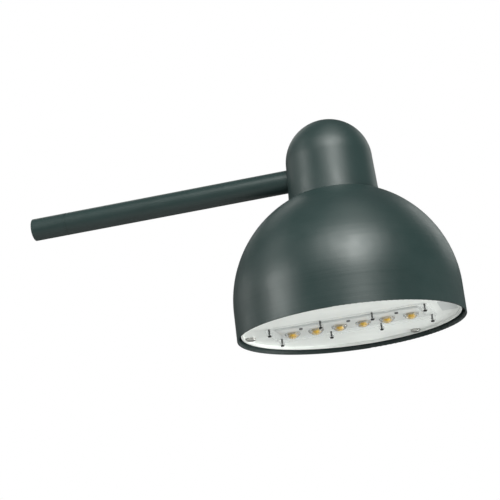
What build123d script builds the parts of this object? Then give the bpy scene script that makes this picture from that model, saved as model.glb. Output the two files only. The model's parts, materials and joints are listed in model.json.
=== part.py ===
"""Dome-shaped picture light on a straight round arm.

Frame: the origin is the centre of the arm's wall end. +X runs out along the arm to the
head and +Z is up. Sizes are in millimetres. Parts of the head are drawn about the dome's
own axis, with height zero at the rim of the shade, and then placed in the arm's frame.
"""
from build123d import *
import math
import os

# Head: outer shape, heights measured up from the rim of the shade
SHADE_RADIUS = 121.0
SKIRT_HEIGHT = 31.0
DOME_ARC_RADIUS = 124.0
SHADE_WALL = 1.6
NECK_BASE_RADIUS = 48.7
NECK_TOP_RADIUS = 46.9
NECK_STRAIGHT_TOP = 184.9
NECK_WALL = 3.0
SEAT_RADIUS = 49.0
SEAT_HOLE_RADIUS = 37.0
SEAT_THICKNESS = 2.0

# Arm
ARM_REACH = 343.5
ARM_HEIGHT = 172.0
ARM_RADIUS = 12.5
ARM_WALL = 2.0
ARM_INNER_END = 7.0
INSERTION_DEPTH = 40.0
SCRIBED_WIDTH = 1.2
SCRIBED_DEPTH = 0.3
CABLE_HOLE_RADIUS = 4.5
BUSH_FLANGE = 3.0
CABLE_WAY_RADIUS = 7.5

# Swivel inside the neck, lengths along the arm measured from the dome's axis
RUNNING_GAP = 0.05
CLEAR_GAP = 0.3
SADDLE_START = -36.0
SADDLE_END = -8.0
SADDLE_HALF_WIDTH = 24.0
CLAMP_SPLIT_GAP = 0.6
CLAMP_BOLT_Y = 18.0
TURN_LIMIT_DEG = 40.0
STOP_PIN_RADIUS = 2.0
STOP_PIN_ORBIT = 18.0
COLLAR_RADIUS = 20.5
COLLAR_START = -6.4
COLLAR_END = 4.0
PIN_HOLE_DEPTH = 12.0
CLAMP_BOLT_X = -22.0
CLAMP_CAP_DEPTH = 19.0
CLAMP_BOLT_SEAT = 12.0
SADDLE_BLOCK_TOP = 60.0
ENTRY_BOSS_RADIUS = 19.0
ENTRY_SEAL_RADIUS = 16.0
ENTRY_SEAL_START = -43.0
ENTRY_SEAL_END = -39.8
THRUST_WASHER_RADIUS = 15.2
THRUST_WASHER_START = -7.7
THRUST_WASHER_END = -6.7

# Fasteners: shank radii, and the holes they pass through
M5_SHANK = 2.5
M5_HOLE = 2.75
M4_SHANK = 2.0
M2_SHANK = 1.0
SMALL_SHANK = 1.4

# Tray, heights measured up from the rim
TRAY_RADIUS = 116.3
TRAY_FACE = 7.5
TRAY_THICKNESS = 2.0
TRAY_LIP_BOTTOM = 4.4
TRAY_TOP = TRAY_FACE + TRAY_THICKNESS
SUPPORT_BOTTOM = 12.0
SUPPORT_THICKNESS = 2.5
SUPPORT_INNER_RADIUS = 103.0
TRAY_SCREW_ORBIT = 109.0
TRAY_SCREW_ANGLES = (180, 60, -60)
HANGER_ANGLES = (0, 120, -120)
TRAY_DROP = 40.0
GASKET_OUTER_RADIUS = 115.2
GASKET_INNER_RADIUS = 112.9
HANGER_RADIUS = 2.0
HANGER_HEAD_RADIUS = 4.2
LABEL_THICKNESS = 0.15

# Light engine: one row of six lenses
LENS_PITCH = 25.4
LENS_COLUMNS = 6
PLATE_LENGTH = 175.0
PLATE_WIDTH = 71.4
PLATE_OUTER = 4.2
PLATE_TOP = 7.0
LENS_RADIUS = 8.5
LENS_HOLLOW_TOP = 5.3
LENS_HOLLOW_RADIUS = 5.2
LENS_HOLLOW_RISE = 3.6
SEAL_WIDTH = 2.4
SEAL_DEPTH = 0.7
LENS_TIP = -0.5
LENS_SCREW_X = (-82.0, -27.3, 27.3, 82.0)
LENS_SCREW_Y = 29.2
LENS_SCREW_SEAT = 0.6
LENS_BOSS_RADIUS = 3.0
BOARD_LENGTH = 150.0
BOARD_WIDTH = 45.0
BOARD_THICKNESS = 1.6
BOARD_BOTTOM = TRAY_FACE - BOARD_THICKNESS
CHIP_SIZE = 7.0
CHIP_CORNER = 0.6
CHIP_THICKNESS = 0.6
CHIP_WINDOW_RADIUS = 3.3
CHIP_WINDOW_RISE = 2.6
BOARD_SCREW_X = (-2 * LENS_PITCH, 0.0, 2 * LENS_PITCH)
BOARD_SCREW_Y = -16.0
BOARD_SCREW_HEAD_RADIUS = 2.0
SINK_LENGTH = 176.0
SINK_WIDTH = 76.0
SINK_BASE = 6.0
SINK_FINS = 11
SINK_FIN_HEIGHT = 14.0
SINK_FIN_HALF_THICKNESS = 0.9
LEAD_HOLE_X = 71.0
GROMMET_RADIUS = 3.0

# Gear on the tray
DRIVER_BODY_LENGTH = 109.0
DRIVER_EAR_X = 65.0
DRIVER_WIDTH = 62.0
DRIVER_HEIGHT = 30.0
BRACKET_SHEET = 1.5
BRACKET_LEVEL = 34.0
BRACKET_LENGTH = 136.0
BRACKET_HALF_WIDTH = 44.0
FOOT_LENGTH = 14.0
DRIVER_BOTTOM = BRACKET_LEVEL + BRACKET_SHEET
DRIVER_EAR_THICKNESS = 3.0
DRIVER_LEAD_LEVEL = DRIVER_BOTTOM + 16
BRACKET_SCREW_X = (12 - BRACKET_LENGTH / 2, BRACKET_LENGTH / 2 - 12)

# Gear under the neck
PLATE_RADIUS = 45.0
PLATE_HOLE_RADIUS = 20.0
PLATE_SHEET = 2.0
NECK_SCREW_ORBIT = 41.0
NECK_SCREW_ANGLES = (0, 120, 240)
NECK_BOSS_RADIUS = 5.5
NECK_BOSS_HEIGHT = 16.0
NECK_SCREW_ENTRY = 11.0
NECK_SEAL_OUTER_RADIUS = 47.6
NECK_SEAL_INNER_RADIUS = 46.6
NECK_SEAL_THICKNESS = 1.0
EARTH_SCREW_X = 30.0
EARTH_SCREW_Y = -20.0
CONNECTOR_NEAR = 34.0
CONNECTOR_DEPTH = 14.0
CONNECTOR_LENGTH = 26.0
PLUG_BOTTOM = 58.0
PLUG_TOP = 74.0
SOCKET_TOP = 88.0
BLOCK_LENGTH = 30.0
BLOCK_WIDTH = 18.0
BLOCK_HEIGHT = 16.0
BLOCK_Y = -31.0
TERMINAL_SPACING = 5.0
TERMINAL_DEPTH = 7.0
TERMINAL_WIRE_LEVEL = 10.0
STRIP_HALF_WIDTH = 10.0
WIRE_RADIUS = 1.2
WIRE_BEND_RADIUS = 3.2

DOME_ARC_CENTRE = SHADE_RADIUS - DOME_ARC_RADIUS
SEAT_HEIGHT = SKIRT_HEIGHT + math.sqrt(DOME_ARC_RADIUS ** 2 - (SEAT_RADIUS - DOME_ARC_CENTRE) ** 2)
SEAT_BOTTOM = SEAT_HEIGHT - SEAT_THICKNESS
MOUNTING_BOTTOM = SEAT_BOTTOM - PLATE_SHEET
HEAD_PLACE = Location((ARM_REACH, 0, -ARM_HEIGHT))


def save(node, shape):
    """Write one node, which must already stand in the arm's frame."""
    shape.label = node
    export_step(shape, f"parts/{node}.step")


def save_head(node, shape):
    """Write a node that was drawn about the dome's axis."""
    save(node, shape.moved(HEAD_PLACE))


def cylinder_z(radius, low, high, x=0.0, y=0.0):
    """Upright cylinder between two heights."""
    return Pos(x, y, (low + high) / 2) * Cylinder(radius, high - low)


def cylinder_x(radius, start, end, y=0.0, z=ARM_HEIGHT):
    """Cylinder along the arm's direction between two places."""
    return Pos((start + end) / 2, y, z) * Rot(0, 90, 0) * Cylinder(radius, end - start)


def block(x_range, y_range, z_range):
    """Box between two places on each axis."""
    size = [high - low for low, high in (x_range, y_range, z_range)]
    middle = [(high + low) / 2 for low, high in (x_range, y_range, z_range)]
    return Pos(*middle) * Box(*size)


def polar(orbit, angle_deg):
    """Place on a circle round the dome's axis."""
    angle = math.radians(angle_deg)
    return orbit * math.cos(angle), orbit * math.sin(angle)


def ring_z(outer, inner, low, high, x=0.0, y=0.0):
    """Upright ring between two heights."""
    return cylinder_z(outer, low, high, x, y) - cylinder_z(inner, low - 1, high + 1, x, y)


def pan_screw(x, y, seat, head_radius, head_height, shank_radius, tip):
    """Screw driven upwards: its head hangs below the seat, with a cross recess."""
    head = cylinder_z(head_radius, seat - head_height, seat, x, y)
    head = fillet(head.edges().sort_by(Axis.Z)[0], head_height * 0.45)
    slot_width = head_radius / 4
    recess = Pos(x, y, seat - head_height) * Box(head_radius, slot_width, head_height)
    recess += Pos(x, y, seat - head_height) * Box(slot_width, head_radius, head_height)
    return head - recess + cylinder_z(shank_radius, seat, tip, x, y)


def wire(points):
    """Insulated wire along straight runs joined by tangent arcs."""
    path = FilletPolyline(*points, radius=WIRE_BEND_RADIUS)
    section = Plane(origin=path @ 0, z_dir=path % 0) * Circle(WIRE_RADIUS)
    return sweep(section, path=path)


def dome_profile(offset):
    """Half outline of the dome, moved inwards by the offset, from the rim to the seat."""
    radius = DOME_ARC_RADIUS - offset
    level = (SEAT_HEIGHT if offset == 0 else SEAT_BOTTOM) - SKIRT_HEIGHT
    top_angle = math.degrees(math.asin(level / radius))
    top_radius = DOME_ARC_CENTRE + radius * math.cos(math.radians(top_angle))
    skirt = Line((SHADE_RADIUS - offset, 0, 0), (SHADE_RADIUS - offset, 0, SKIRT_HEIGHT))
    dome = Plane.XZ * CenterArc((DOME_ARC_CENTRE, SKIRT_HEIGHT), radius, 0, arc_size=top_angle)
    return skirt, dome, top_radius


def make_shade():
    """Spun aluminium dome with a straight skirt, a rolled rim and a flat seat for the neck."""
    skirt_out, dome_out, top_out = dome_profile(0)
    skirt_in, dome_in, top_in = dome_profile(SHADE_WALL)
    inner_rim = SHADE_RADIUS - SHADE_WALL
    rim_middle = (SHADE_RADIUS - SHADE_WALL / 2, 0, -SHADE_WALL / 4)
    rim = ThreePointArc((inner_rim, 0, 0), rim_middle, (SHADE_RADIUS, 0, 0))
    seat = [
        Line((top_out, 0, SEAT_HEIGHT), (SEAT_HOLE_RADIUS, 0, SEAT_HEIGHT)),
        Line((SEAT_HOLE_RADIUS, 0, SEAT_HEIGHT), (SEAT_HOLE_RADIUS, 0, SEAT_BOTTOM)),
        Line((SEAT_HOLE_RADIUS, 0, SEAT_BOTTOM), (top_in, 0, SEAT_BOTTOM)),
    ]
    outline = make_face([rim, skirt_out, dome_out, *seat, dome_in, skirt_in])
    shade = revolve(outline, axis=Axis.Z)
    for angle in NECK_SCREW_ANGLES:
        x, y = polar(NECK_SCREW_ORBIT, angle)
        shade -= cylinder_z(M5_HOLE, SEAT_BOTTOM - 1, SEAT_HEIGHT + 1, x, y)
    return shade


def neck_solid(offset, bottom):
    """Solid neck, moved inwards by the offset: a slight taper under a rounded cap."""
    base = NECK_BASE_RADIUS - offset
    top = NECK_TOP_RADIUS - offset
    cap_arc = Plane.XZ * CenterArc((0, NECK_STRAIGHT_TOP), top, 0, arc_size=90)
    outline = make_face([
        Line((0, 0, bottom), (base, 0, bottom)),
        Line((base, 0, bottom), (top, 0, NECK_STRAIGHT_TOP)),
        cap_arc,
        Line((0, 0, NECK_STRAIGHT_TOP + top), (0, 0, bottom)),
    ])
    return revolve(outline, axis=Axis.Z)


def make_neck_seal():
    """Flat seal in the groove under the neck."""
    seal_top = SEAT_HEIGHT + NECK_SEAL_THICKNESS
    return ring_z(NECK_SEAL_OUTER_RADIUS, NECK_SEAL_INNER_RADIUS, SEAT_HEIGHT, seal_top)


def make_neck_cap():
    """Cast neck: a rounded shell with screw bosses, the arm's entry boss and the upper saddle."""
    inside = neck_solid(NECK_WALL, SEAT_HEIGHT)
    neck = neck_solid(0, SEAT_HEIGHT) - inside
    features = cylinder_x(ENTRY_BOSS_RADIUS, -NECK_BASE_RADIUS, SADDLE_START - 1.5)
    saddle_x = (SADDLE_START - 4, SADDLE_END)
    saddle_y = (-SADDLE_HALF_WIDTH, SADDLE_HALF_WIDTH)
    features += block(saddle_x, saddle_y, (ARM_HEIGHT + CLAMP_SPLIT_GAP, ARM_HEIGHT + SADDLE_BLOCK_TOP))
    for angle in NECK_SCREW_ANGLES:
        x, y = polar(NECK_SCREW_ORBIT, angle)
        features += cylinder_z(NECK_BOSS_RADIUS, SEAT_HEIGHT, SEAT_HEIGHT + NECK_BOSS_HEIGHT, x, y)
    neck += features & inside
    neck -= cylinder_x(ARM_RADIUS + CLEAR_GAP, -NECK_BASE_RADIUS - 5, SADDLE_START)
    neck -= cylinder_x(ARM_RADIUS + RUNNING_GAP, SADDLE_START, SADDLE_END + 1)
    neck -= cylinder_x(ENTRY_SEAL_RADIUS, ENTRY_SEAL_START, ENTRY_SEAL_END)
    pin_height = ARM_HEIGHT + STOP_PIN_ORBIT
    neck -= cylinder_x(STOP_PIN_RADIUS, SADDLE_END - PIN_HOLE_DEPTH, SADDLE_END, z=pin_height)
    for side in (-1, 1):
        neck -= cylinder_z(M5_SHANK, ARM_HEIGHT, ARM_HEIGHT + 14, CLAMP_BOLT_X, side * CLAMP_BOLT_Y)
    for angle in NECK_SCREW_ANGLES:
        x, y = polar(NECK_SCREW_ORBIT, angle)
        neck -= cylinder_z(M5_SHANK, SEAT_HEIGHT - 1, SEAT_HEIGHT + NECK_SCREW_ENTRY + 1, x, y)
    return neck - make_neck_seal()


def make_entry_seal():
    """Rubber ring round the arm where it enters the neck."""
    ring = cylinder_x(ENTRY_SEAL_RADIUS, ENTRY_SEAL_START, ENTRY_SEAL_END)
    ring -= cylinder_x(ARM_RADIUS + 0.15, ENTRY_SEAL_START, ENTRY_SEAL_END)
    return fillet(ring.edges().filter_by(GeomType.CIRCLE), 0.8)


def make_clamp_cap():
    """Lower saddle, which pulls the arm up into the neck's casting."""
    bottom = ARM_HEIGHT - CLAMP_CAP_DEPTH
    saddle_x = (SADDLE_START + 2, SADDLE_END - 2)
    saddle_y = (-SADDLE_HALF_WIDTH, SADDLE_HALF_WIDTH)
    cap = block(saddle_x, saddle_y, (bottom, ARM_HEIGHT - CLAMP_SPLIT_GAP))
    cap = fillet(cap.edges().filter_by(Axis.X).sort_by(Axis.Z)[:2], 8)
    cap -= cylinder_x(ARM_RADIUS + RUNNING_GAP, SADDLE_START, SADDLE_END)
    for side in (-1, 1):
        y = side * CLAMP_BOLT_Y
        cap -= cylinder_z(M5_HOLE, bottom - 1, ARM_HEIGHT, CLAMP_BOLT_X, y)
        cap -= cylinder_z(6.2, bottom - 1, ARM_HEIGHT - CLAMP_BOLT_SEAT, CLAMP_BOLT_X, y)
    return cap


def make_clamp_bolts():
    """Two cap screws that hold the lower saddle."""
    bolts = []
    head_height = 5.0
    seat = ARM_HEIGHT - CLAMP_BOLT_SEAT - 1
    for side in (-1, 1):
        y = side * CLAMP_BOLT_Y
        head = cylinder_z(4.25, seat - head_height, seat, CLAMP_BOLT_X, y)
        socket = Pos(CLAMP_BOLT_X, y, seat - head_height) * extrude(RegularPolygon(2.3, 6), 3)
        shank = cylinder_z(M5_SHANK, seat, ARM_HEIGHT + 13, CLAMP_BOLT_X, y)
        bolts.append(head - socket + shank)
    return Compound(children=bolts)


def make_clamp_washers():
    """Plain washers under the clamp bolts' heads."""
    top = ARM_HEIGHT - CLAMP_BOLT_SEAT
    washers = []
    for side in (-1, 1):
        washers.append(ring_z(5.0, M5_SHANK + 0.1, top - 1, top, CLAMP_BOLT_X, side * CLAMP_BOLT_Y))
    return Compound(children=washers)


def make_stop_pin():
    """Pin in the saddle that runs in the collar's notch and ends the swivel's travel."""
    start = SADDLE_END - PIN_HOLE_DEPTH
    pin = cylinder_x(STOP_PIN_RADIUS, start, COLLAR_END - 2, z=ARM_HEIGHT + STOP_PIN_ORBIT)
    return chamfer(pin.edges().sort_by(Axis.X)[-1], 0.5)


def make_thrust_washer():
    """Friction washer between the saddle and the collar."""
    washer = cylinder_x(THRUST_WASHER_RADIUS, THRUST_WASHER_START, THRUST_WASHER_END)
    return washer - cylinder_x(ARM_RADIUS + RUNNING_GAP, THRUST_WASHER_START, THRUST_WASHER_END)


def make_stop_collar():
    """Collar fixed on the arm's inner end, with a notch as wide as the swivel's travel."""
    collar = cylinder_x(COLLAR_RADIUS, COLLAR_START, COLLAR_END)
    collar -= cylinder_x(ARM_RADIUS, COLLAR_START - 1, COLLAR_END + 1)
    pin_half_angle = math.degrees(math.asin(STOP_PIN_RADIUS / STOP_PIN_ORBIT))
    half_notch = TURN_LIMIT_DEG + pin_half_angle + 0.8
    reach = 2 * COLLAR_RADIUS
    corners = [(0, 0)]
    for step in range(-3, 4):
        angle = math.radians(half_notch * step / 3)
        corners.append((reach * math.sin(angle), reach * math.cos(angle)))
    collar_plane = Plane((COLLAR_START - 1, 0, ARM_HEIGHT), x_dir=(0, 1, 0), z_dir=(1, 0, 0))
    wedge = collar_plane * make_face(Polyline(*corners, close=True))
    notch_floor = STOP_PIN_ORBIT - STOP_PIN_RADIUS - 0.4
    notch = extrude(wedge, COLLAR_END - COLLAR_START + 2, dir=(1, 0, 0))
    notch -= cylinder_x(notch_floor, COLLAR_START - 2, COLLAR_END + 2)
    collar -= notch
    return collar - cylinder_z(M5_SHANK, ARM_HEIGHT - COLLAR_RADIUS - 1, ARM_HEIGHT - ARM_RADIUS + 1)


def make_collar_screw():
    """Grub screw that locks the collar on the arm."""
    bottom = ARM_HEIGHT - COLLAR_RADIUS + 0.5
    screw = cylinder_z(M5_SHANK, bottom, ARM_HEIGHT - ARM_RADIUS + 1)
    return screw - Pos(0, 0, bottom) * extrude(RegularPolygon(1.4, 6), 2.5)


def make_arm_tube():
    """Round arm, open at both ends, with a shallow ring turned round it at its insertion depth."""
    inner_end = ARM_REACH + ARM_INNER_END
    tube = cylinder_x(ARM_RADIUS, 0, inner_end, z=0)
    scribed = cylinder_x(ARM_RADIUS + 1, INSERTION_DEPTH, INSERTION_DEPTH + SCRIBED_WIDTH, z=0)
    tube -= scribed - cylinder_x(ARM_RADIUS - SCRIBED_DEPTH, 0, inner_end, z=0)
    tube -= cylinder_x(ARM_RADIUS - ARM_WALL, -1, inner_end + 1, z=0)
    return tube - cylinder_z(M5_SHANK, -ARM_RADIUS - 1, -ARM_RADIUS + 1, ARM_REACH)


def make_wall_end_bush():
    """Plastic bush in the wall end, with the hole for the supply cord."""
    start = 0.6
    length = 13.4
    bush = cylinder_x(ARM_RADIUS - ARM_WALL, start, start + length, z=0)
    bush -= cylinder_x(CABLE_HOLE_RADIUS + 2.5, start + BUSH_FLANGE, start + length + 1, z=0)
    return bush - cylinder_x(CABLE_HOLE_RADIUS, 0, start + BUSH_FLANGE + 1, z=0)


def make_inner_bush():
    """Plastic bush that keeps the arm's inner edge off the supply cord."""
    end = ARM_REACH + ARM_INNER_END
    length = 8.0
    flange = 1.5
    bush = cylinder_x(ARM_RADIUS - ARM_WALL, end - length, end, z=0)
    bush += cylinder_x(ARM_RADIUS - 0.5, end, end + flange, z=0)
    return bush - cylinder_x(CABLE_WAY_RADIUS, end - length - 1, end + flange + 1, z=0)


def make_mounting_plate():
    """Sheet disc under the seat, held by the neck screws, that carries the wiring."""
    plate = ring_z(PLATE_RADIUS, PLATE_HOLE_RADIUS, MOUNTING_BOTTOM, SEAT_BOTTOM)
    for angle in NECK_SCREW_ANGLES:
        x, y = polar(NECK_SCREW_ORBIT, angle)
        plate -= cylinder_z(M5_HOLE, MOUNTING_BOTTOM - 1, SEAT_BOTTOM + 1, x, y)
    return plate - cylinder_z(M4_SHANK, MOUNTING_BOTTOM - 1, SEAT_BOTTOM + 1, EARTH_SCREW_X, EARTH_SCREW_Y)


def make_neck_screws():
    """Three screws up through the plate and the shade's seat into the neck."""
    screws = []
    for angle in NECK_SCREW_ANGLES:
        x, y = polar(NECK_SCREW_ORBIT, angle)
        screws.append(pan_screw(x, y, MOUNTING_BOTTOM, 4.6, 3.2, M5_SHANK, SEAT_HEIGHT + NECK_SCREW_ENTRY))
    return Compound(children=screws)


def make_earth_screw():
    """Earth screw in the mounting plate."""
    return pan_screw(EARTH_SCREW_X, EARTH_SCREW_Y, MOUNTING_BOTTOM, 3.6, 2.6, M4_SHANK, SEAT_BOTTOM)


def terminal_ways():
    """Place along the terminal block of each of its three ways."""
    return [way * BLOCK_LENGTH / 3 for way in (-1, 0, 1)]


def make_terminal_block():
    """Three-way supply terminal under the mounting plate."""
    low = MOUNTING_BOTTOM - BLOCK_HEIGHT
    far_y = BLOCK_Y + BLOCK_WIDTH / 2
    body = block((-BLOCK_LENGTH / 2, BLOCK_LENGTH / 2), (far_y - BLOCK_WIDTH, far_y), (low, MOUNTING_BOTTOM))
    body = fillet(body.edges().filter_by(Axis.Z), 1.5)
    for x in terminal_ways():
        for y in (BLOCK_Y - TERMINAL_SPACING, BLOCK_Y + TERMINAL_SPACING):
            body -= cylinder_z(M4_SHANK + 0.2, low - 1, low + TERMINAL_DEPTH, x, y)
        wire_hole = Rot(90, 0, 0) * Cylinder(WIRE_RADIUS + 0.2, 10)
        body -= Pos(x, far_y, low + TERMINAL_WIRE_LEVEL) * wire_hole
    return body


def make_terminal_screws():
    """Slotted clamping screws of the supply terminal."""
    low = MOUNTING_BOTTOM - BLOCK_HEIGHT
    screws = []
    for x in terminal_ways():
        for y in (BLOCK_Y - TERMINAL_SPACING, BLOCK_Y + TERMINAL_SPACING):
            screw = cylinder_z(M4_SHANK, low + 1, low + TERMINAL_DEPTH, x, y)
            screws.append(screw - Pos(x, y, low + 1) * Box(5, 0.7, 1.6))
    return Compound(children=screws)


def make_socket_bracket():
    """Bent strip from the mounting plate down to the supply socket."""
    outer = CONNECTOR_NEAR + CONNECTOR_DEPTH
    width = (-STRIP_HALF_WIDTH, STRIP_HALF_WIDTH)
    upper = block(width, (26, outer + BRACKET_SHEET), (MOUNTING_BOTTOM - BRACKET_SHEET, MOUNTING_BOTTOM))
    drop = block(width, (outer, outer + BRACKET_SHEET), (PLUG_TOP + 3, MOUNTING_BOTTOM))
    return upper + drop


def make_supply_socket():
    """Socket half of the plug-in connector, open downwards over the plug's nose."""
    half = CONNECTOR_LENGTH / 2
    far = CONNECTOR_NEAR + CONNECTOR_DEPTH
    wall = 2.0
    socket = block((-half, half), (CONNECTOR_NEAR, far), (PLUG_TOP - 7, SOCKET_TOP))
    socket = fillet(socket.edges().filter_by(Axis.Z), 1.0)
    hollow_y = (CONNECTOR_NEAR + wall, far - wall)
    return socket - block((wall - half, half - wall), hollow_y, (PLUG_TOP - 8, PLUG_TOP + 0.5))


def make_supply_plug():
    """Plug half of the connector, on the gear bracket, whose nose goes up into the socket."""
    half = CONNECTOR_LENGTH / 2
    far = CONNECTOR_NEAR + CONNECTOR_DEPTH
    shoulder = 2.4
    plug = block((-half, half), (CONNECTOR_NEAR, far), (PLUG_BOTTOM, PLUG_TOP - 7.5))
    plug = fillet(plug.edges().filter_by(Axis.Z), 1.0)
    nose_y = (CONNECTOR_NEAR + shoulder, far - shoulder)
    return plug + block((shoulder - half, half - shoulder), nose_y, (PLUG_TOP - 8, PLUG_TOP))


def make_supply_leads():
    """Three wires from the supply terminal to the socket."""
    level = MOUNTING_BOTTOM - BLOCK_HEIGHT + TERMINAL_WIRE_LEVEL
    start_y = BLOCK_Y + BLOCK_WIDTH / 2 - 4
    end_y = CONNECTOR_NEAR + CONNECTOR_DEPTH / 2
    leads = []
    for way, x in zip((-1, 0, 1), terminal_ways()):
        end_x = way * 6.0
        points = [
            (x, start_y, level),
            (x, -8, level),
            (end_x, 18, level - 14),
            (end_x, end_y - 3, level - 18),
            (end_x, end_y, SOCKET_TOP + 12),
            (end_x, end_y, SOCKET_TOP),
        ]
        leads.append(wire(points))
    return Compound(children=leads)


def make_support_ring():
    """Ring welded inside the skirt, which the tray is pulled up to."""
    top = SUPPORT_BOTTOM + SUPPORT_THICKNESS
    ring = ring_z(SHADE_RADIUS - SHADE_WALL, SUPPORT_INNER_RADIUS, SUPPORT_BOTTOM, top)
    for angle in TRAY_SCREW_ANGLES + HANGER_ANGLES:
        x, y = polar(TRAY_SCREW_ORBIT, angle)
        ring -= cylinder_z(3.2, SUPPORT_BOTTOM - 1, top + 1, x, y)
    return ring


def make_weld_nuts():
    """Nuts on the support ring for the tray screws."""
    nuts = []
    top = SUPPORT_BOTTOM + SUPPORT_THICKNESS
    for angle in TRAY_SCREW_ANGLES:
        x, y = polar(TRAY_SCREW_ORBIT, angle)
        nut = Pos(x, y, top) * extrude(RegularPolygon(4.6, 6), 4)
        nuts.append(nut - cylinder_z(M5_SHANK + 0.08, top - 1, top + 5, x, y))
    return Compound(children=nuts)


def make_gear_tray():
    """Shallow white tray that closes the shade, with its edge turned down."""
    tray = cylinder_z(TRAY_RADIUS, TRAY_LIP_BOTTOM, TRAY_TOP)
    tray = fillet(tray.edges().sort_by(Axis.Z)[-1], 1.0)
    tray -= cylinder_z(TRAY_RADIUS - TRAY_THICKNESS, TRAY_LIP_BOTTOM - 1, TRAY_FACE)
    holes = [(M5_SHANK + 0.1, *polar(TRAY_SCREW_ORBIT, angle)) for angle in TRAY_SCREW_ANGLES]
    holes += [(M2_SHANK + 0.1, x, y) for x, y in lens_screw_places()]
    holes += [(SMALL_SHANK + 0.1, x, BOARD_SCREW_Y) for x in BOARD_SCREW_X]
    holes.append((GROMMET_RADIUS, LEAD_HOLE_X, 0.0))
    for radius, x, y in holes:
        tray -= cylinder_z(radius, TRAY_FACE - 1, TRAY_TOP + 1, x, y)
    return tray


def make_tray_gasket():
    """Foam ring between the tray and the support ring."""
    return ring_z(GASKET_OUTER_RADIUS, GASKET_INNER_RADIUS, TRAY_TOP, SUPPORT_BOTTOM - 0.1)


def make_tray_screws():
    """Three captive screws that pull the tray up to the support ring."""
    screws = []
    for angle in TRAY_SCREW_ANGLES:
        x, y = polar(TRAY_SCREW_ORBIT, angle)
        screws.append(pan_screw(x, y, TRAY_FACE, 5.0, 2.8, M5_SHANK, SUPPORT_BOTTOM + 10))
    return Compound(children=screws)


def make_screw_retainers():
    """Clips that keep the loosened screws in the tray."""
    clips = []
    for angle in TRAY_SCREW_ANGLES:
        x, y = polar(TRAY_SCREW_ORBIT, angle)
        clips.append(ring_z(3.1, M5_SHANK, TRAY_TOP, TRAY_TOP + 0.8, x, y))
    return Compound(children=clips)


def make_hanger_rods():
    """Headed rods welded to the tray: their heads catch the support ring when it is let down."""
    rods = []
    catch = SUPPORT_BOTTOM + SUPPORT_THICKNESS + TRAY_DROP
    for angle in HANGER_ANGLES:
        x, y = polar(TRAY_SCREW_ORBIT, angle)
        rod = cylinder_z(HANGER_RADIUS, TRAY_TOP, catch + 1, x, y)
        rods.append(rod + cylinder_z(HANGER_HEAD_RADIUS, catch + 0.1, catch + 3, x, y))
    return Compound(children=rods)


def rounded_slab(length, width, corner, low, high):
    """Slab with rounded corners, centred on the dome's axis."""
    return Pos(0, 0, low) * extrude(RectangleRounded(length, width, corner), high - low)


def make_led_board():
    """White circuit board behind the lenses."""
    board = rounded_slab(BOARD_LENGTH, BOARD_WIDTH, 3, BOARD_BOTTOM, TRAY_FACE)
    for x in BOARD_SCREW_X:
        board -= cylinder_z(SMALL_SHANK + 0.2, BOARD_BOTTOM - 1, TRAY_FACE + 1, x, BOARD_SCREW_Y)
    return board - cylinder_z(1.5, BOARD_BOTTOM - 1, TRAY_FACE + 1, LEAD_HOLE_X)


def lens_places():
    """Centre of each lens."""
    return [((column - (LENS_COLUMNS - 1) / 2) * LENS_PITCH, 0.0) for column in range(LENS_COLUMNS)]


def lens_screw_places():
    """Centre of each lens-plate screw."""
    return [(x, side * LENS_SCREW_Y) for x in LENS_SCREW_X for side in (-1, 1)]


def low_cap(base_radius, rise, base_height, x, y):
    """Rounded cap that hangs below its flat base."""
    sphere_radius = (base_radius ** 2 + rise ** 2) / (2 * rise)
    ball = Pos(x, y, base_height - rise + sphere_radius) * Sphere(sphere_radius)
    return ball & cylinder_z(base_radius + 1, base_height - rise - 1, base_height + 0.01, x, y)


def make_led_chips():
    """Light-emitting packages, each with a round yellow dome, one behind each lens."""
    chips = []
    base_bottom = BOARD_BOTTOM - CHIP_THICKNESS
    for x, y in lens_places():
        outline = RectangleRounded(CHIP_SIZE, CHIP_SIZE, CHIP_CORNER)
        base = Pos(x, y, base_bottom) * extrude(outline, CHIP_THICKNESS)
        window = low_cap(CHIP_WINDOW_RADIUS, CHIP_WINDOW_RISE, base_bottom, x, y)
        chips.append(base + window)
    return Compound(children=chips)


def make_lens_plate():
    """Clear moulded plate with a domed lens over each chip and a tall boss for each screw."""
    plate = rounded_slab(PLATE_LENGTH, PLATE_WIDTH, 12, PLATE_OUTER, PLATE_TOP)
    plate = fillet(plate.edges().group_by(Axis.Z)[0], 1.5)
    for x, y in lens_places():
        plate += low_cap(LENS_RADIUS, PLATE_OUTER - LENS_TIP, PLATE_OUTER, x, y)
    plate -= rounded_slab(BOARD_LENGTH + 1, BOARD_WIDTH + 1, 3.5, LENS_HOLLOW_TOP, PLATE_TOP + 1)
    for x, y in lens_places():
        plate -= low_cap(LENS_HOLLOW_RADIUS, LENS_HOLLOW_RISE, LENS_HOLLOW_TOP, x, y)
    seal_length = BOARD_LENGTH + 2 * SEAL_WIDTH + 0.2
    seal_width = BOARD_WIDTH + 2 * SEAL_WIDTH + 0.2
    plate -= rounded_slab(seal_length, seal_width, 5, PLATE_TOP - SEAL_DEPTH, PLATE_TOP + 1)
    for x, y in lens_screw_places():
        plate += cylinder_z(LENS_BOSS_RADIUS, LENS_SCREW_SEAT, PLATE_TOP, x, y)
        plate -= cylinder_z(M2_SHANK + 0.1, LENS_TIP - 1, PLATE_TOP + 1, x, y)
    for x in BOARD_SCREW_X:
        plate -= cylinder_z(BOARD_SCREW_HEAD_RADIUS + 0.6, PLATE_OUTER - 1, PLATE_TOP, x, BOARD_SCREW_Y)
    return plate


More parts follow.
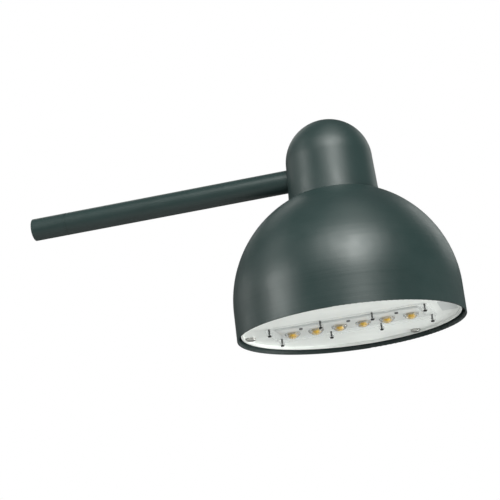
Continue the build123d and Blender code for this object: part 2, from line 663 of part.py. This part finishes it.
def make_lens_seal():
    """Silicone seal round the board, between the lens plate and the tray."""
    length = BOARD_LENGTH + 2 * SEAL_WIDTH
    width = BOARD_WIDTH + 2 * SEAL_WIDTH
    outer = rounded_slab(length, width, 5, PLATE_TOP - SEAL_DEPTH, TRAY_FACE)
    return outer - rounded_slab(BOARD_LENGTH + 1, BOARD_WIDTH + 1, 3.5, PLATE_TOP - 1, TRAY_FACE + 1)


def make_lens_screws():
    """Eight screws through the lens plate and the tray into the heat sink."""
    screws = []
    for x, y in lens_screw_places():
        screws.append(pan_screw(x, y, LENS_SCREW_SEAT, 2.0, 1.4, M2_SHANK, TRAY_TOP + 5))
    return Compound(children=screws)


def make_board_screws():
    """Three small screws that hold the board against the tray."""
    screws = []
    head = (BOARD_SCREW_HEAD_RADIUS, 1.4)
    for x in BOARD_SCREW_X:
        screws.append(pan_screw(x, BOARD_SCREW_Y, BOARD_BOTTOM, *head, SMALL_SHANK, TRAY_TOP + 4))
    return Compound(children=screws)


def make_heat_sink():
    """Finned aluminium sink on the tray, over the board."""
    base_top = TRAY_TOP + SINK_BASE
    sink = rounded_slab(SINK_LENGTH, SINK_WIDTH, 4, TRAY_TOP, base_top)
    pitch = (SINK_WIDTH - 8) / (SINK_FINS - 1)
    fin_x = (6 - SINK_LENGTH / 2, SINK_LENGTH / 2 - 6)
    for fin in range(SINK_FINS):
        y = (fin - (SINK_FINS - 1) / 2) * pitch
        fin_y = (y - SINK_FIN_HALF_THICKNESS, y + SINK_FIN_HALF_THICKNESS)
        sink += block(fin_x, fin_y, (base_top - 0.5, base_top + SINK_FIN_HEIGHT))
    for x, y in lens_screw_places():
        sink -= cylinder_z(M2_SHANK, TRAY_TOP - 1, TRAY_TOP + 5, x, y)
    for x in BOARD_SCREW_X:
        sink -= cylinder_z(SMALL_SHANK, TRAY_TOP - 1, TRAY_TOP + 4, x, BOARD_SCREW_Y)
    return sink - cylinder_z(GROMMET_RADIUS, TRAY_TOP - 1, base_top + SINK_FIN_HEIGHT + 1, LEAD_HOLE_X)


def make_lead_grommet():
    """Sleeve that takes the light engine's leads through the tray and the sink."""
    sleeve = cylinder_z(GROMMET_RADIUS, TRAY_FACE, TRAY_TOP + SINK_BASE, LEAD_HOLE_X)
    return sleeve - cylinder_z(WIRE_RADIUS + 0.2, TRAY_FACE - 1, TRAY_TOP + SINK_BASE + 1, LEAD_HOLE_X)


def make_driver_bracket():
    """Folded bracket that stands on the tray, bridges the heat sink and carries the driver."""
    length = (-BRACKET_LENGTH / 2, BRACKET_LENGTH / 2)
    bracket_top = BRACKET_LEVEL + BRACKET_SHEET
    bracket = block(length, (-BRACKET_HALF_WIDTH, BRACKET_HALF_WIDTH), (BRACKET_LEVEL, bracket_top))
    for side in (-1, 1):
        edge = side * BRACKET_HALF_WIDTH
        leg_y = sorted((edge, edge - side * BRACKET_SHEET))
        foot_y = sorted((edge - side * BRACKET_SHEET, edge + side * FOOT_LENGTH))
        bracket += block(length, leg_y, (TRAY_TOP, bracket_top))
        bracket += block(length, foot_y, (TRAY_TOP, TRAY_TOP + BRACKET_SHEET))
        for x in BRACKET_SCREW_X:
            bracket -= cylinder_z(1.8, TRAY_TOP - 1, TRAY_TOP + 3, x, edge + side * FOOT_LENGTH / 2)
    upstand_y = (CONNECTOR_NEAR - BRACKET_SHEET, CONNECTOR_NEAR)
    bracket += block((-CONNECTOR_LENGTH / 2, CONNECTOR_LENGTH / 2), upstand_y, (BRACKET_LEVEL, PLUG_TOP - 8))
    for x in (-DRIVER_EAR_X, DRIVER_EAR_X):
        bracket -= cylinder_z(1.6, BRACKET_LEVEL - 1, DRIVER_BOTTOM + 1, x)
    return bracket


def make_bracket_screws():
    """Four screws that hold the bracket's feet, driven from above."""
    screws = []
    seat = TRAY_TOP + BRACKET_SHEET
    for side in (-1, 1):
        y = side * (BRACKET_HALF_WIDTH + FOOT_LENGTH / 2)
        for x in BRACKET_SCREW_X:
            head = cylinder_z(3.4, seat, seat + 2.4, x, y)
            head = fillet(head.edges().sort_by(Axis.Z)[-1], 1.0)
            screws.append(head + cylinder_z(1.7, TRAY_TOP, seat, x, y))
    return Compound(children=screws)


def make_driver():
    """Enclosed constant-current driver with a fixing ear at each end."""
    outline = RectangleRounded(DRIVER_BODY_LENGTH, DRIVER_WIDTH, 4)
    body = Pos(0, 0, DRIVER_BOTTOM) * extrude(outline, DRIVER_HEIGHT)
    body = fillet(body.edges().group_by(Axis.Z)[-1], 2.0)
    ears = SlotOverall(2 * DRIVER_EAR_X + 9, 16)
    body += Pos(0, 0, DRIVER_BOTTOM) * extrude(ears, DRIVER_EAR_THICKNESS)
    for x in (-DRIVER_EAR_X, DRIVER_EAR_X):
        body -= cylinder_z(1.8, DRIVER_BOTTOM - 1, DRIVER_BOTTOM + DRIVER_EAR_THICKNESS + 1, x)
    return body


def make_driver_screws():
    """Two screws through the driver's ears."""
    screws = []
    seat = DRIVER_BOTTOM + DRIVER_EAR_THICKNESS
    for x in (-DRIVER_EAR_X, DRIVER_EAR_X):
        head = cylinder_z(3.2, seat, seat + 2.2, x)
        head = fillet(head.edges().sort_by(Axis.Z)[-1], 0.9)
        screws.append(head + cylinder_z(1.55, BRACKET_LEVEL - 3, seat, x))
    return Compound(children=screws)


def make_plug_leads():
    """Two wires from the plug to the driver's input end."""
    middle = CONNECTOR_NEAR + CONNECTOR_DEPTH / 2
    leads = []
    for shift in (0, 3.5):
        level = PLUG_BOTTOM + 2 + shift
        points = [
            (-CONNECTOR_LENGTH / 2, middle, level),
            (-44, middle, level),
            (-66, 33, level - 4),
            (-72, 14 + shift, DRIVER_LEAD_LEVEL + 2),
            (-66, 4 + shift, DRIVER_LEAD_LEVEL),
            (-DRIVER_BODY_LENGTH / 2, 4 + shift, DRIVER_LEAD_LEVEL),
        ]
        leads.append(wire(points))
    return Compound(children=leads)


def make_led_leads():
    """Wire pair from the driver's output end down through the grommet to the board."""
    points = [
        (DRIVER_BODY_LENGTH / 2, -8, DRIVER_LEAD_LEVEL),
        (66, -8, DRIVER_LEAD_LEVEL),
        (LEAD_HOLE_X, -4, DRIVER_LEAD_LEVEL - 7),
        (LEAD_HOLE_X, 0, DRIVER_LEAD_LEVEL - 17),
        (LEAD_HOLE_X, 0, TRAY_FACE),
    ]
    return wire(points)


def make_rating_label():
    """Blank label on the tray beside the lens plate."""
    label = Pos(103, -3, 0) * RectangleRounded(17, 46, 1.5)
    return Pos(0, 0, TRAY_FACE - LABEL_THICKNESS) * extrude(label, LABEL_THICKNESS)


NODES_ON_ARM_AXIS = {
    "arm_tube": make_arm_tube,
    "wall_end_bush": make_wall_end_bush,
    "inner_bush": make_inner_bush,
}
NODES_ON_DOME_AXIS = {
    "stop_collar": make_stop_collar,
    "collar_screw": make_collar_screw,
    "shade": make_shade,
    "neck_cap": make_neck_cap,
    "neck_seal": make_neck_seal,
    "neck_screws": make_neck_screws,
    "entry_seal": make_entry_seal,
    "clamp_cap": make_clamp_cap,
    "clamp_bolts": make_clamp_bolts,
    "clamp_washers": make_clamp_washers,
    "stop_pin": make_stop_pin,
    "thrust_washer": make_thrust_washer,
    "mounting_plate": make_mounting_plate,
    "earth_screw": make_earth_screw,
    "terminal_block": make_terminal_block,
    "terminal_screws": make_terminal_screws,
    "socket_bracket": make_socket_bracket,
    "supply_socket": make_supply_socket,
    "supply_leads": make_supply_leads,
    "support_ring": make_support_ring,
    "weld_nuts": make_weld_nuts,
    "gear_tray": make_gear_tray,
    "tray_gasket": make_tray_gasket,
    "tray_screws": make_tray_screws,
    "screw_retainers": make_screw_retainers,
    "hanger_rods": make_hanger_rods,
    "led_board": make_led_board,
    "led_chips": make_led_chips,
    "lens_plate": make_lens_plate,
    "lens_seal": make_lens_seal,
    "lens_screws": make_lens_screws,
    "board_screws": make_board_screws,
    "heat_sink": make_heat_sink,
    "lead_grommet": make_lead_grommet,
    "driver_bracket": make_driver_bracket,
    "bracket_screws": make_bracket_screws,
    "driver": make_driver,
    "driver_screws": make_driver_screws,
    "supply_plug": make_supply_plug,
    "plug_leads": make_plug_leads,
    "led_leads": make_led_leads,
    "rating_label": make_rating_label,
}

os.makedirs("parts", exist_ok=True)
for node, make in NODES_ON_ARM_AXIS.items():
    save(node, make())
for node, make in NODES_ON_DOME_AXIS.items():
    save_head(node, make())
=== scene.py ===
"""Studio scene for the dome-shaped picture light: finishes and fine pieces round the CAD frame.

Everything is in metres in the shared frame: the origin is the centre of the arm's wall end,
+X runs out along the arm and +Z is up. The pieces of the light engine are drawn in millimetres
about the dome's axis, with heights above the rim, and are then scaled and moved into place.
"""
import bmesh
import bpy
import json
import math
from mathutils import Matrix, Vector


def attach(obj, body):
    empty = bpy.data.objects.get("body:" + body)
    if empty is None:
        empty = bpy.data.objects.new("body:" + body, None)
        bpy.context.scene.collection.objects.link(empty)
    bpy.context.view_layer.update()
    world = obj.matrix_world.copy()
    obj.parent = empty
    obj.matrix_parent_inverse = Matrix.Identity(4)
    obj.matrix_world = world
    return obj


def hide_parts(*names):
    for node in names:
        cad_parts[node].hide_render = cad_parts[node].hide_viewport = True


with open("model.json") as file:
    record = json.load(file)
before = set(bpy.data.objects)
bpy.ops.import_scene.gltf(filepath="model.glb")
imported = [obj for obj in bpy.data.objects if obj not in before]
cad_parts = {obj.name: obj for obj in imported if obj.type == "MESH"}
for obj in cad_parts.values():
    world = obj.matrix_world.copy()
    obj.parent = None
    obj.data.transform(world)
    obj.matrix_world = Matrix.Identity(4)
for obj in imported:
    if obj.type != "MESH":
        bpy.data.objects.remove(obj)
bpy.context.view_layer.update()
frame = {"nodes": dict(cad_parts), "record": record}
MM = 0.001

# Camera: it stands below the rim and looks up at the head
CAMERA_AIM = Vector((0.2498, -0.0214, -0.0739))
CAMERA_AZIMUTH_DEG = 12.88
CAMERA_ELEVATION_DEG = -15.217
CAMERA_ROLL_DEG = -6.8385
CAMERA_DISTANCE = 1.5316
CAMERA_LENS_MM = 103.47
CAMERA_SENSOR_MM = 36.0
CAMERA_CLIP_END = 50


def outward(azimuth_deg, elevation_deg):
    """Unit vector by azimuth from the front towards +X, and elevation."""
    azimuth = math.radians(azimuth_deg)
    elevation = math.radians(elevation_deg)
    return Vector((math.sin(azimuth) * math.cos(elevation),
                   -math.cos(azimuth) * math.cos(elevation),
                   math.sin(elevation)))


def link_object(name, data):
    """New object in the scene."""
    made = bpy.data.objects.new(name, data)
    bpy.context.scene.collection.objects.link(made)
    return made


def make_camera():
    """Camera from its aim point, direction, distance and roll."""
    back = outward(CAMERA_AZIMUTH_DEG, CAMERA_ELEVATION_DEG)
    right = Vector((0, 0, 1)).cross(back).normalized()
    up = back.cross(right)
    roll = Matrix.Rotation(math.radians(CAMERA_ROLL_DEG), 3, "Z")
    turn = Matrix((right, up, back)).transposed() @ roll
    data = bpy.data.cameras.new("camera")
    data.lens = CAMERA_LENS_MM
    data.sensor_width = CAMERA_SENSOR_MM
    data.clip_end = CAMERA_CLIP_END
    camera = link_object("camera", data)
    place = Matrix.Translation(CAMERA_AIM + back * CAMERA_DISTANCE)
    camera.matrix_world = place @ turn.to_4x4()
    bpy.context.scene.camera = camera


# ---------------------------------------------------------------- materials

# Part of a noise's range over which a value runs from low to high
RAMP_START = 0.3
RAMP_END = 0.7


def new_material(name, colour, roughness, metallic=0.0, **sockets):
    """Principled material with plain values, and its shader to add detail to."""
    material = bpy.data.materials.new(name)
    material.use_nodes = True
    shader = material.node_tree.nodes["Principled BSDF"]
    shader.inputs["Base Color"].default_value = (*colour, 1)
    shader.inputs["Roughness"].default_value = roughness
    shader.inputs["Metallic"].default_value = metallic
    for socket, value in sockets.items():
        shader.inputs[socket.replace("_", " ")].default_value = value
    return material, shader


def noise(material, scale, detail, roughness=0.55, stretch=None):
    """Noise in the piece's own coordinates, finer along an axis with a larger stretch."""
    nodes = material.node_tree.nodes
    links = material.node_tree.links
    place = nodes.new("ShaderNodeTexCoord").outputs["Object"]
    if stretch:
        squeeze = nodes.new("ShaderNodeMapping")
        squeeze.inputs["Scale"].default_value = stretch
        links.new(place, squeeze.inputs["Vector"])
        place = squeeze.outputs["Vector"]
    texture = nodes.new("ShaderNodeTexNoise")
    texture.inputs["Scale"].default_value = scale
    texture.inputs["Detail"].default_value = detail
    texture.inputs["Roughness"].default_value = roughness
    links.new(place, texture.inputs["Vector"])
    return texture.outputs["Fac"]


def vary(material, shader, socket, factor, low, high):
    """Drive a shader's number or colour between two values by a noise."""
    ramp = material.node_tree.nodes.new("ShaderNodeValToRGB")
    stops = ramp.color_ramp.elements
    for stop, position, value in ((stops[0], RAMP_START, low), (stops[1], RAMP_END, high)):
        channels = value if isinstance(value, tuple) else (value, value, value)
        stop.position = position
        stop.color = (*channels, 1)
    links = material.node_tree.links
    links.new(factor, ramp.inputs["Fac"])
    links.new(ramp.outputs["Color"], shader.inputs[socket])


def bump(material, shader, height, distance, strength):
    """Bump from a noise, on top of the bump that is already there."""
    links = material.node_tree.links
    node = material.node_tree.nodes.new("ShaderNodeBump")
    node.inputs["Distance"].default_value = distance
    node.inputs["Strength"].default_value = strength
    previous = shader.inputs["Normal"].links
    if previous:
        links.new(previous[0].from_socket, node.inputs["Normal"])
    links.new(height, node.inputs["Height"])
    links.new(node.outputs["Normal"], shader.inputs["Normal"])


def scaled(colour, factor):
    """The colour, lighter or darker."""
    return tuple(min(1.0, channel * factor) for channel in colour)


def paint(name, colour, roughness, grain_height):
    """Powder coat: fine orange peel, small changes of gloss and of shade."""
    material, shader = new_material(name, colour, roughness)
    broad = noise(material, scale=18, detail=3)
    vary(material, shader, "Base Color", broad, scaled(colour, 0.93), scaled(colour, 1.07))
    patches = noise(material, scale=55, detail=5)
    vary(material, shader, "Roughness", patches, roughness - 0.03, roughness + 0.04)
    peel = noise(material, scale=1400, detail=3)
    bump(material, shader, peel, distance=grain_height, strength=0.5)
    return material


def metal(name, colour, roughness):
    """Plated or raw metal with fine scratches."""
    material, shader = new_material(name, colour, roughness, metallic=1.0)
    cloud = noise(material, scale=300, detail=5)
    vary(material, shader, "Roughness", cloud, roughness - 0.06, roughness + 0.1)
    vary(material, shader, "Base Color", cloud, scaled(colour, 0.88), scaled(colour, 1.08))
    grain = noise(material, scale=2600, detail=2)
    bump(material, shader, grain, distance=0.00001, strength=0.4)
    return material


def moulded(name, colour, roughness):
    """Moulded plastic, rubber or coating with a fine grain."""
    material, shader = new_material(name, colour, roughness)
    cloud = noise(material, scale=120, detail=4)
    vary(material, shader, "Roughness", cloud, roughness - 0.05, roughness + 0.06)
    vary(material, shader, "Base Color", cloud, scaled(colour, 0.94), scaled(colour, 1.05))
    grain = noise(material, scale=3000, detail=2)
    bump(material, shader, grain, distance=0.00001, strength=0.6)
    return material


def clear_plastic():
    """Clear polished acrylic: light passes through it, and it shows at grazing angles."""
    material, shader = new_material("clear_acrylic", (0.93, 0.95, 0.95), 0.06, IOR=1.49)
    cloud = noise(material, scale=260, detail=3)
    vary(material, shader, "Roughness", cloud, 0.03, 0.10)
    ripple = noise(material, scale=160, detail=2)
    bump(material, shader, ripple, distance=0.00006, strength=0.5)
    nodes = material.node_tree.nodes
    links = material.node_tree.links
    facing = nodes.new("ShaderNodeLayerWeight")
    facing.inputs["Blend"].default_value = 0.25
    cover = nodes.new("ShaderNodeMapRange")
    cover.inputs["To Min"].default_value = 0.05
    cover.inputs["To Max"].default_value = 0.30
    links.new(facing.outputs["Fresnel"], cover.inputs["Value"])
    links.new(cover.outputs["Result"], shader.inputs["Alpha"])
    return material


def lens_glass():
    """Solid clear acrylic of the lenses."""
    material, shader = new_material("lens_acrylic", (0.99, 0.99, 0.98), 0.03,
                                    IOR=1.58, Transmission_Weight=1.0, Alpha=0.62)
    cloud = noise(material, scale=400, detail=3)
    vary(material, shader, "Roughness", cloud, 0.02, 0.06)
    ripple = noise(material, scale=300, detail=2)
    bump(material, shader, ripple, distance=0.00003, strength=0.4)
    return material


def spun_paint(name, colour, roughness, grain_height):
    """Powder coat over the fine rings that spinning leaves round a dome."""
    material = paint(name, colour, roughness, grain_height)
    rings = noise(material, scale=5, detail=6, roughness=0.7, stretch=(0.4, 0.4, 60))
    shader = material.node_tree.nodes["Principled BSDF"]
    bump(material, shader, rings, distance=0.00022, strength=0.7)
    return material


PAINT = (0.0112, 0.0255, 0.0245)

# Finish of each material slot in the record, and of the lenses and the sources' bases
FINISHES = {
    "dark_paint": paint("anthracite_powder_coat", PAINT, 0.40, 0.00003),
    "white_paint": paint("white_powder_coat", (0.90, 0.915, 0.895), 0.42, 0.00005),
    "cast_inner": metal("cast_aluminium", (0.62, 0.63, 0.64), 0.5),
    "sink_aluminium": metal("extruded_aluminium", (0.66, 0.67, 0.68), 0.38),
    "plated_steel": metal("zinc_plated_steel", (0.56, 0.55, 0.53), 0.3),
    "dark_steel": metal("blackened_steel", (0.05, 0.05, 0.05), 0.4),
    "sheet_steel": metal("galvanised_sheet", (0.6, 0.6, 0.6), 0.42),
    "black_rubber": moulded("black_rubber", (0.018, 0.018, 0.018), 0.75),
    "silicone": moulded("silicone", (0.7, 0.71, 0.71), 0.5),
    "black_plastic": moulded("black_plastic", (0.03, 0.03, 0.03), 0.5),
    "white_plastic": moulded("white_plastic", (0.78, 0.78, 0.76), 0.45),
    "clear_plastic": clear_plastic(),
    "lens_glass": lens_glass(),
    "phosphor_base": moulded("phosphor_coated_base", (0.95, 0.68, 0.24), 0.3),
    "board_mask": moulded("white_solder_mask", (0.8, 0.81, 0.8), 0.35),
    "phosphor": moulded("yellow_phosphor", (1.0, 0.58, 0.05), 0.3),
    "brass_screws": metal("plated_brass", (0.72, 0.54, 0.24), 0.3),
    "wire_cover": moulded("wire_cover", (0.25, 0.12, 0.06), 0.4),
    "label_film": moulded("blank_label_film", (0.66, 0.68, 0.68), 0.4),
}

# Nodes whose finish differs a little from the rest of their slot
NODE_FINISHES = {
    "neck_cap": paint("cast_anthracite_powder_coat", PAINT, 0.45, 0.00006),
    "shade": spun_paint("spun_anthracite_powder_coat", PAINT, 0.40, 0.00003),
}


def finish_cad_nodes():
    """Every CAD node takes the finish of its slot in the record."""
    slots = {entry["node"]: entry["material_slot"] for entry in frame["record"]["subparts"]}
    for name, node in frame["nodes"].items():
        node.data.materials.clear()
        node.data.materials.append(NODE_FINISHES.get(name, FINISHES[slots[name]]))


# ---------------------------------------------------------------- light engine

# Where the dome's axis crosses the level of the rim
HEAD_PLACE = Vector((343.5, 0, -172)) * MM

LENS_PITCH = 25.4
LENS_CENTRES = [((column - 2.5) * LENS_PITCH, 0.0) for column in range(6)]
SHEET_SCREWS = [(x, y) for x in (-82.0, -27.3, 27.3, 82.0) for y in (-29.2, 29.2)]

# Lens: a dome that hangs from a short straight edge, and a flat back, as (radius, height)
LENS_RADIUS = 8.5
LENS_EDGE = 4.3
LENS_RISE = 4.75
LENS_BACK_PROFILE = [(LENS_RADIUS, LENS_EDGE), (LENS_RADIUS, 5.25), (8.4, 5.3), (0.0, 5.3)]

# Clear sheet: levels of (height, inset) from its back to its softened front edge
SHEET_LEVELS = [(7.0, 0.1), (6.9, 0), (5.0, 0), (4.5, 0.4), (4.2, 1.2)]
SHEET_LENGTH = 175
SHEET_WIDTH = 71.4
SHEET_CORNER = 12

# Screw boss under the sheet, from its bore round its foot to the sheet, as (radius, height)
BOSS_PROFILE = [(1.1, 4.3), (1.1, 0.6), (2.7, 0.6), (3.0, 0.9), (3.0, 4.0), (3.6, 4.19)]

# Light source: a square base, its yellow dome, and a soft ring round the dome, with the
# dome's and the ring's places among the piece's finishes
BASE_LEVELS = [(5.9, 0), (5.4, 0), (5.3, 0.12)]
BASE_SIDE = 7.0
BASE_CORNER = 0.6
SOURCE_RADIUS = 3.4
SOURCE_EDGE = 5.3
SOURCE_RISE = 3.7
RING_PROFILE = [(3.49, 5.28), (3.48, 5.1), (3.4, 5.05), (3.3, 5.28)]
SOURCE_MATERIAL = 1
RING_MATERIAL = 2

# Rounding of slab corners, and the gap closed between a lens's dome and its back
SMALLEST_CORNER = 0.2
CORNER_STEPS = 8
WELD_DISTANCE = 0.001


def new_piece(name, mesh_builder, finishes, slot, *replaced):
    """Piece of the light engine, which rides on the tray in place of the replaced nodes."""
    shape = bmesh.new()
    mesh_builder(shape)
    bmesh.ops.scale(shape, vec=(MM, MM, MM), verts=shape.verts)
    bmesh.ops.translate(shape, vec=HEAD_PLACE, verts=shape.verts)
    bmesh.ops.recalc_face_normals(shape, faces=shape.faces)
    mesh = bpy.data.meshes.new(name)
    shape.to_mesh(mesh)
    shape.free()
    for finish in finishes:
        mesh.materials.append(FINISHES[finish])
    piece = link_object(name, mesh)
    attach(piece, "tray")
    if replaced:
        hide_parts(*replaced)


def revolve(shape, profile, x, y, steps, material_index=0):
    """Turn a profile of (radius, height) points round an upright axis."""
    rings = []
    for radius, height in profile:
        if radius == 0:
            rings.append([shape.verts.new((x, y, height))])
            continue
        angles = [2 * math.pi * step / steps for step in range(steps)]
        rings.append([shape.verts.new((x + radius * math.cos(angle),
                                       y + radius * math.sin(angle), height))
                      for angle in angles])
    for lower, upper in zip(rings, rings[1:]):
        for step in range(steps):
            after = (step + 1) % steps
            corners = [lower[step % len(lower)], lower[after % len(lower)],
                       upper[after % len(upper)], upper[step % len(upper)]]
            face = shape.faces.new(list(dict.fromkeys(corners)))
            face.smooth = True
            face.material_index = material_index


def cap_points(edge_radius, edge_height, rise, count):
    """Points of a round cap that hangs from its edge, from the edge to the middle."""
    sphere = (edge_radius ** 2 + rise ** 2) / (2 * rise)
    points = []
    for step in range(count + 1):
        radius = edge_radius * math.cos(math.pi / 2 * step / count)
        depth = math.sqrt(max(0.0, sphere ** 2 - radius ** 2)) - (sphere - rise)
        points.append((0.0 if step == count else radius, edge_height - depth))
    return points


def rounded_outline(length, width, corner):
    """Points of a rounded rectangle, in order."""
    points = []
    for turn, (side_x, side_y) in enumerate(((1, 1), (-1, 1), (-1, -1), (1, -1))):
        for step in range(CORNER_STEPS + 1):
            angle = math.pi / 2 * (turn + step / CORNER_STEPS)
            points.append((side_x * (length / 2 - corner) + corner * math.cos(angle),
                           side_y * (width / 2 - corner) + corner * math.sin(angle)))
    return points


def slab(shape, levels, length, width, corner, x=0.0, y=0.0):
    """Closed slab through levels of (height, inset), rounded in plan."""
    rings = []
    for height, inset in levels:
        outline = rounded_outline(length - 2 * inset, width - 2 * inset,
                                  max(SMALLEST_CORNER, corner - inset))
        rings.append([shape.verts.new((x + across, y + along, height))
                      for across, along in outline])
    shape.faces.new(rings[0])
    shape.faces.new(rings[-1])
    for lower, upper in zip(rings, rings[1:]):
        for step in range(len(lower)):
            after = (step + 1) % len(lower)
            shape.faces.new((lower[step], lower[after], upper[after], upper[step]))


def build_lenses(shape):
    """Six domed lenses, each filled with clear gel round its light source."""
    for x, y in LENS_CENTRES:
        revolve(shape, cap_points(LENS_RADIUS, LENS_EDGE, LENS_RISE, 14), x, y, steps=40)
        revolve(shape, LENS_BACK_PROFILE, x, y, steps=40)
    bmesh.ops.remove_doubles(shape, verts=shape.verts, dist=WELD_DISTANCE)


def build_lens_sheet(shape):
    """Clear sheet round the lenses with its tall screw bosses."""
    slab(shape, SHEET_LEVELS, SHEET_LENGTH, SHEET_WIDTH, SHEET_CORNER)
    for x, y in SHEET_SCREWS:
        revolve(shape, BOSS_PROFILE, x, y, steps=28)


def build_packages(shape):
    """Phosphor-coated bases with a soft edge, each with its yellow dome."""
    for x, y in LENS_CENTRES:
        slab(shape, BASE_LEVELS, BASE_SIDE, BASE_SIDE, BASE_CORNER, x, y)
        source = cap_points(SOURCE_RADIUS, SOURCE_EDGE, SOURCE_RISE, 10)
        revolve(shape, source, x, y, 32, SOURCE_MATERIAL)
        revolve(shape, RING_PROFILE, x, y, 32, RING_MATERIAL)


def make_light_engine():
    """Lenses, lens sheet and light sources in place of their plain solids."""
    new_piece("lens_domes", build_lenses, ["lens_glass"], "clear_plastic", "lens_plate")
    new_piece("lens_sheet", build_lens_sheet, ["clear_plastic"], "clear_plastic")
    new_piece("led_packages", build_packages, ["phosphor_base", "phosphor", "silicone"],
              "phosphor", "led_chips")


# ---------------------------------------------------------------- studio

HEAD_CENTRE = Vector((0.34, 0, -0.06))

# Soft boxes that face the head: azimuth from the front towards +X, elevation, distance,
# side and power
SOFT_BOXES = {
    "key_left": (-3, 42, 2.0, 0.7, 10.5),
    "key_right": (45, 42, 2.0, 0.7, 10),
    "key_high": (19, 47, 2.0, 0.5, 7),
    "key_low": (24, 33, 2.0, 0.5, 28),
    "front_fill": (24, 12, 2.0, 0.6, 6.5),
    "left_fill": (-58, 14, 2.0, 0.6, 17),
    "left_far": (-105, 14, 2.0, 0.8, 2.7),
    "left_high": (-75, 42, 2.0, 0.7, 2.8),
    "left_back": (-142, 42, 2.0, 0.9, 2.5),
    "right_back": (150, 28, 2.0, 0.9, 3.5),
    "top": (60, 76, 2.0, 0.8, 2.8),
    "low_right": (102, -24, 1.4, 0.6, 14),
}
LIGHT_COLOUR = (0.97, 1.0, 0.97)
WHITE = (1, 1, 1, 1)
AMBIENT = 0.12

# The card below returns light and isn't seen; the floor is seen and returns none
CARD_HALF = 6.0
CARD_LEVEL = -1.0
CARD_GREY = (0.60, 0.60, 0.60)
FLOOR_HALF = 22.0
FLOOR_LEVEL = -1.7
FLOOR_COLOUR = (0.80, 0.80, 0.79)
FLOOR_GLOW = 0.85
PAPER_ROUGHNESS = 0.8


def soft_box(name, azimuth_deg, elevation_deg, distance, side, power):
    """Square soft box that faces the head."""
    out = outward(azimuth_deg, elevation_deg)
    data = bpy.data.lights.new(name, "AREA")
    data.shape = "SQUARE"
    data.size = side
    data.energy = power
    data.color = LIGHT_COLOUR
    turn = out.to_track_quat("Z", "Y").to_matrix().to_4x4()
    place = Matrix.Translation(HEAD_CENTRE + out * distance)
    link_object(name, data).matrix_world = place @ turn


def make_world():
    """White surroundings behind the object, which give only a little light themselves."""
    world = bpy.data.worlds.new("studio")
    world.use_nodes = True
    nodes = world.node_tree.nodes
    links = world.node_tree.links
    seen = nodes["Background"]
    seen.inputs["Color"].default_value = WHITE
    given = nodes.new("ShaderNodeBackground")
    given.inputs["Color"].default_value = WHITE
    given.inputs["Strength"].default_value = AMBIENT
    path = nodes.new("ShaderNodeLightPath")
    choose = nodes.new("ShaderNodeMixShader")
    links.new(path.outputs["Is Camera Ray"], choose.inputs["Fac"])
    links.new(given.outputs["Background"], choose.inputs[1])
    links.new(seen.outputs["Background"], choose.inputs[2])
    links.new(choose.outputs["Shader"], nodes["World Output"].inputs["Surface"])
    bpy.context.scene.world = world
    bpy.context.scene.view_settings.view_transform = "Standard"


def level_sheet(name, half, level, material):
    """Square level sheet of the studio, which isn't part of the object."""
    mesh = bpy.data.meshes.new(name)
    corners = [(x * half, y * half, level) for x, y in ((-1, -1), (1, -1), (1, 1), (-1, 1))]
    mesh.from_pydata(corners, [], [(0, 1, 2, 3)])
    mesh.materials.append(material)
    sheet = link_object(name, mesh)
    return sheet


def make_studio():
    """White surroundings, soft boxes, a pale floor and a card that returns light from below."""
    make_world()
    grey = moulded("grey_card", CARD_GREY, PAPER_ROUGHNESS)
    card = level_sheet("bounce_card", CARD_HALF, CARD_LEVEL, grey)
    card.visible_camera = False
    pale = moulded("pale_floor", FLOOR_COLOUR, PAPER_ROUGHNESS)
    shader = pale.node_tree.nodes["Principled BSDF"]
    shader.inputs["Emission Color"].default_value = WHITE
    shader.inputs["Emission Strength"].default_value = FLOOR_GLOW
    floor = level_sheet("floor", FLOOR_HALF, FLOOR_LEVEL, pale)
    floor.visible_diffuse = False
    floor.visible_glossy = False
    floor.visible_shadow = False
    for name, numbers in SOFT_BOXES.items():
        soft_box(name, *numbers)


finish_cad_nodes()
make_light_engine()
make_studio()
make_camera()
